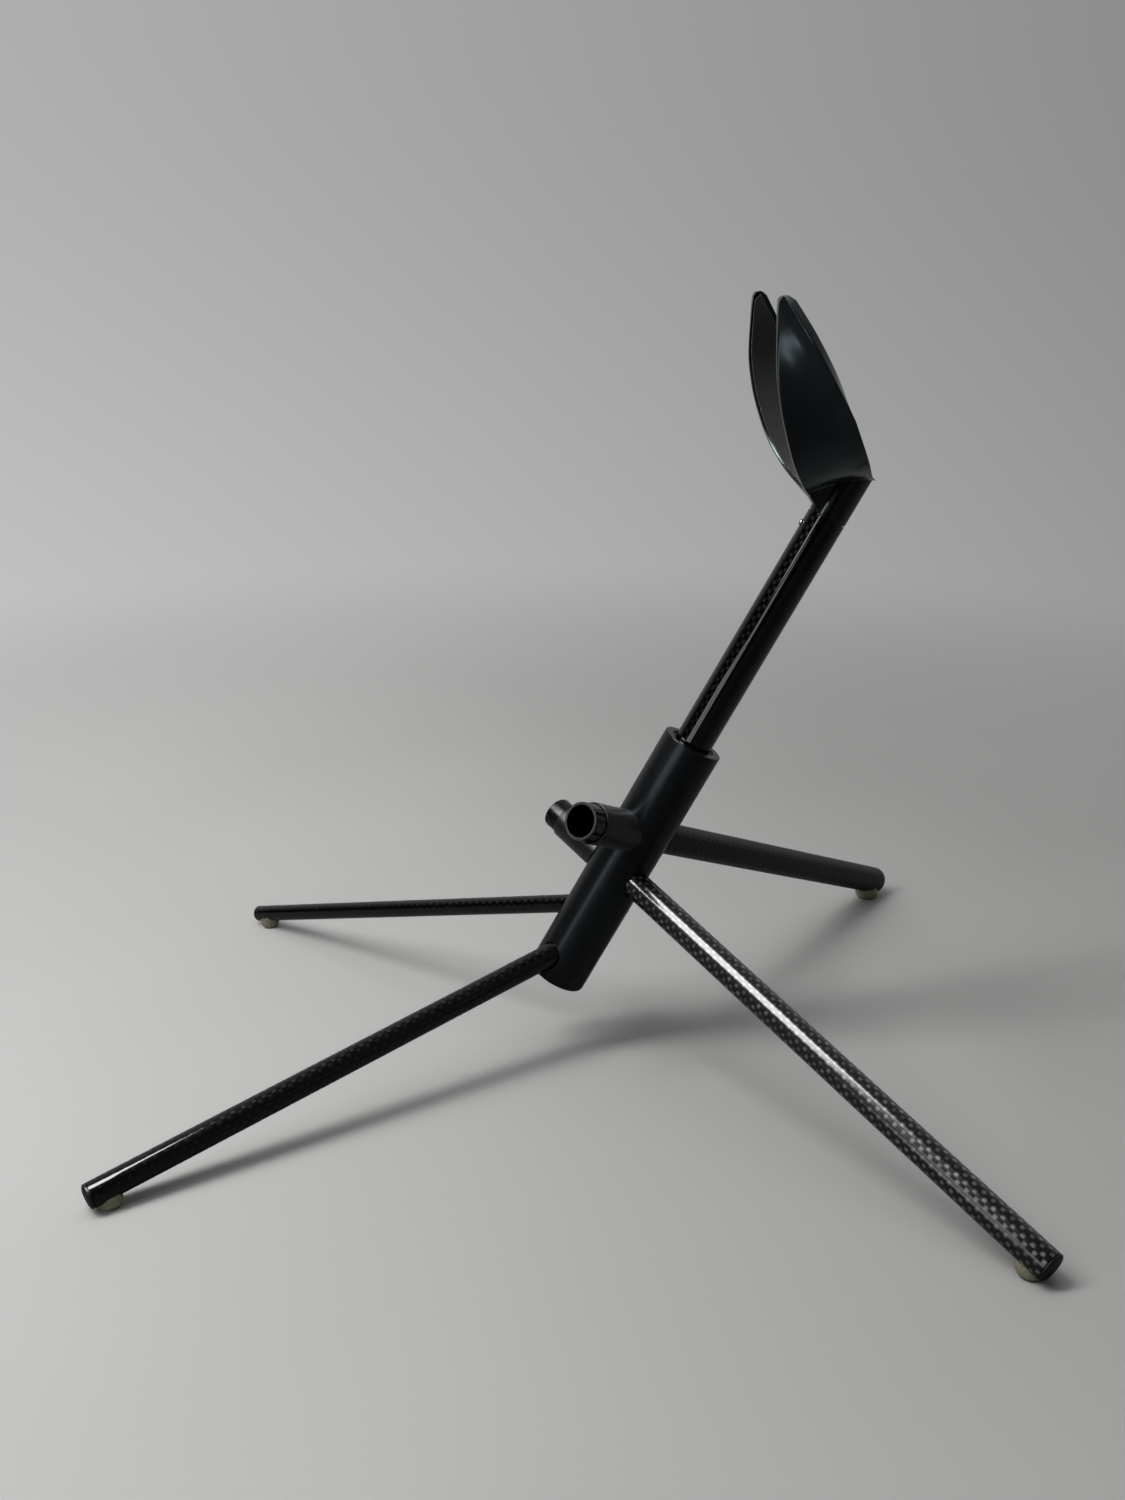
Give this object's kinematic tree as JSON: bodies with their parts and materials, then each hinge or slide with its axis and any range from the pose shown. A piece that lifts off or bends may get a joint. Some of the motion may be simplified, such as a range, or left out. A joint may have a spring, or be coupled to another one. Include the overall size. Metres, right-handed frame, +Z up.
{
  "type": "saxophone stand",
  "caption": "Take-apart floor stand with an inclined hub, splayed tube legs, a leaning mast with a crescent cradle for a bell, and short cross-tube stubs as a V rest.",
  "frame": {"origin": "on the floor, under the middle of the stand's footprint box", "axes": "+Z up, +X towards the side the cradle and mast lean to, +Y to the stand's left"},
  "size_m": [0.3556, 0.3448, 0.3223],
  "materials": {
    "satin_black_bar": "satin black anodised",
    "gloss_carbon": "gloss clear-coated carbon fibre",
    "satin_carbon": "satin carbon fibre",
    "moulded_black": "semi-gloss black moulding",
    "rubber_sleeve": "matt black",
    "rubber_ring": "matt black",
    "felt_lining": "short black pile",
    "black_cap": "satin black",
    "clear_rubber": "translucent, slightly yellowed",
    "steel": "satin"
  },
  "bodies": {
    "hub": {"hub_body": "satin_black_bar", "cross_tube_upper": "gloss_carbon", "cross_tube_lower": "gloss_carbon", "rest_sleeve_right": "rubber_sleeve", "rest_sleeve_left": "rubber_sleeve"},
    "mast_ring": {"mast_socket_ring": "rubber_ring"},
    "mast": {"mast_tube": "gloss_carbon", "cradle_neck": "moulded_black", "neck_pin": "steel", "cradle_saddle": "moulded_black", "saddle_liner": "felt_lining", "saddle_screw": "steel"},
    "front_left_ring": {"front_left_socket_ring": "rubber_ring"},
    "front_left_leg": {"front_left_leg_tube": "satin_carbon", "front_left_end_cap": "black_cap", "front_left_foot_pad": "clear_rubber"},
    "front_right_ring": {"front_right_socket_ring": "rubber_ring"},
    "front_right_leg": {"front_right_leg_tube": "gloss_carbon", "front_right_end_cap": "black_cap", "front_right_foot_pad": "clear_rubber"},
    "rear_right_ring": {"rear_right_socket_ring": "rubber_ring"},
    "rear_right_leg": {"rear_right_leg_tube": "gloss_carbon", "rear_right_end_cap": "black_cap", "rear_right_foot_pad": "clear_rubber"},
    "rear_left_ring": {"rear_left_socket_ring": "rubber_ring"},
    "rear_left_leg": {"rear_left_leg_tube": "satin_carbon", "rear_left_end_cap": "black_cap", "rear_left_foot_pad": "clear_rubber"}
  },
  "joints": [
    {"name": "mast_turn", "type": "hinge", "parent": "hub", "child": "mast_ring", "pos_m": [0.05073, 0.00193, 0.1323], "axis": [0.4732, 0, 0.881], "continuous": true},
    {"name": "mast_pull", "type": "slide", "parent": "mast_ring", "child": "mast", "axis": [0.4732, 0, 0.881], "range_m": [0, 0.033]},
    {"name": "front_left_twist", "type": "hinge", "parent": "hub", "child": "front_left_ring", "pos_m": [0.03699, 0.00636, 0.09732], "axis": [0.5911, 0.7045, -0.3929], "continuous": true},
    {"name": "front_left_pull", "type": "slide", "parent": "front_left_ring", "child": "front_left_leg", "axis": [0.5911, 0.7045, -0.3929], "range_m": [0, 0.023]},
    {"name": "front_right_twist", "type": "hinge", "parent": "hub", "child": "front_right_ring", "pos_m": [0.02815, -0.00264, 0.08109], "axis": [0.6079, -0.7244, -0.3251], "continuous": true},
    {"name": "front_right_pull", "type": "slide", "parent": "front_right_ring", "child": "front_right_leg", "axis": [0.6079, -0.7244, -0.3251], "range_m": [0, 0.023]},
    {"name": "rear_right_twist", "type": "hinge", "parent": "hub", "child": "rear_right_ring", "pos_m": [-0.00135, -0.00311, 0.0468], "axis": [-0.799, -0.572, -0.1853], "continuous": true},
    {"name": "rear_right_pull", "type": "slide", "parent": "rear_right_ring", "child": "rear_right_leg", "axis": [-0.799, -0.572, -0.1853], "range_m": [0, 0.02]},
    {"name": "rear_left_twist", "type": "hinge", "parent": "hub", "child": "rear_left_ring", "pos_m": [0.00898, 0.00685, 0.06494], "axis": [-0.7814, 0.5594, -0.2766], "continuous": true},
    {"name": "rear_left_pull", "type": "slide", "parent": "rear_left_ring", "child": "rear_left_leg", "axis": [-0.7814, 0.5594, -0.2766], "range_m": [0, 0.02]}
  ]
}
